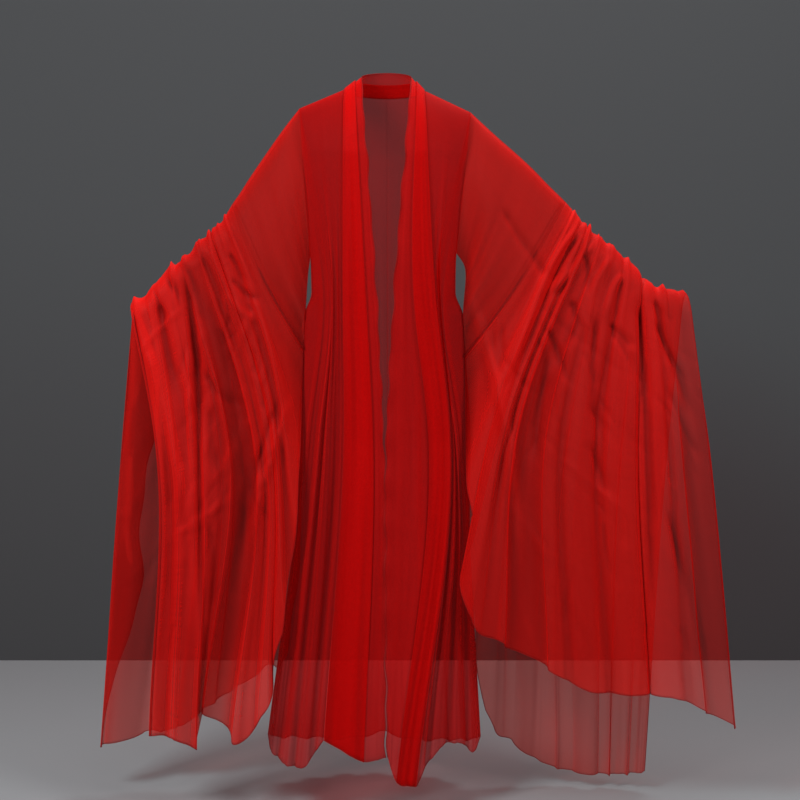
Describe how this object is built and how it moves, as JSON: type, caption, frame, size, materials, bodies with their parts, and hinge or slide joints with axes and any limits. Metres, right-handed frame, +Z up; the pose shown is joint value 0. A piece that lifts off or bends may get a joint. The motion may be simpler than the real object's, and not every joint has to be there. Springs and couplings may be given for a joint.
{
  "type": "hanfu robe",
  "caption": "Sheer open-fronted robe with a long collar band and very wide hanging sleeves, in its worn shape.",
  "frame": {"origin": "middle of the neck's base, at the height where the collar rests on the shoulders; the wearer holds the robe there", "axes": "+Z up, -Y out of the robe's front, +X to the right of a person who looks at the front"},
  "size_m": [1.319, 0.4112, 1.4864],
  "materials": {
    "body_cloth": "sheer plain-woven chiffon, deep red, soft sheen",
    "sleeve_cloth": "sheer plain-woven chiffon, deep red, soft sheen",
    "sleeve_end_cloth": "sheer plain-woven chiffon, deep red, soft sheen",
    "collar_cloth": "doubled chiffon, deep red, nearly opaque"
  },
  "bodies": {
    "root": {"back_left": "body_cloth", "back_right": "body_cloth", "front_left": "body_cloth", "front_right": "body_cloth", "sleeve_left": "sleeve_cloth", "sleeve_right": "sleeve_cloth", "sleeve_end_left": "sleeve_end_cloth", "sleeve_end_right": "sleeve_end_cloth", "collar_band": "collar_cloth"}
  },
  "joints": []
}
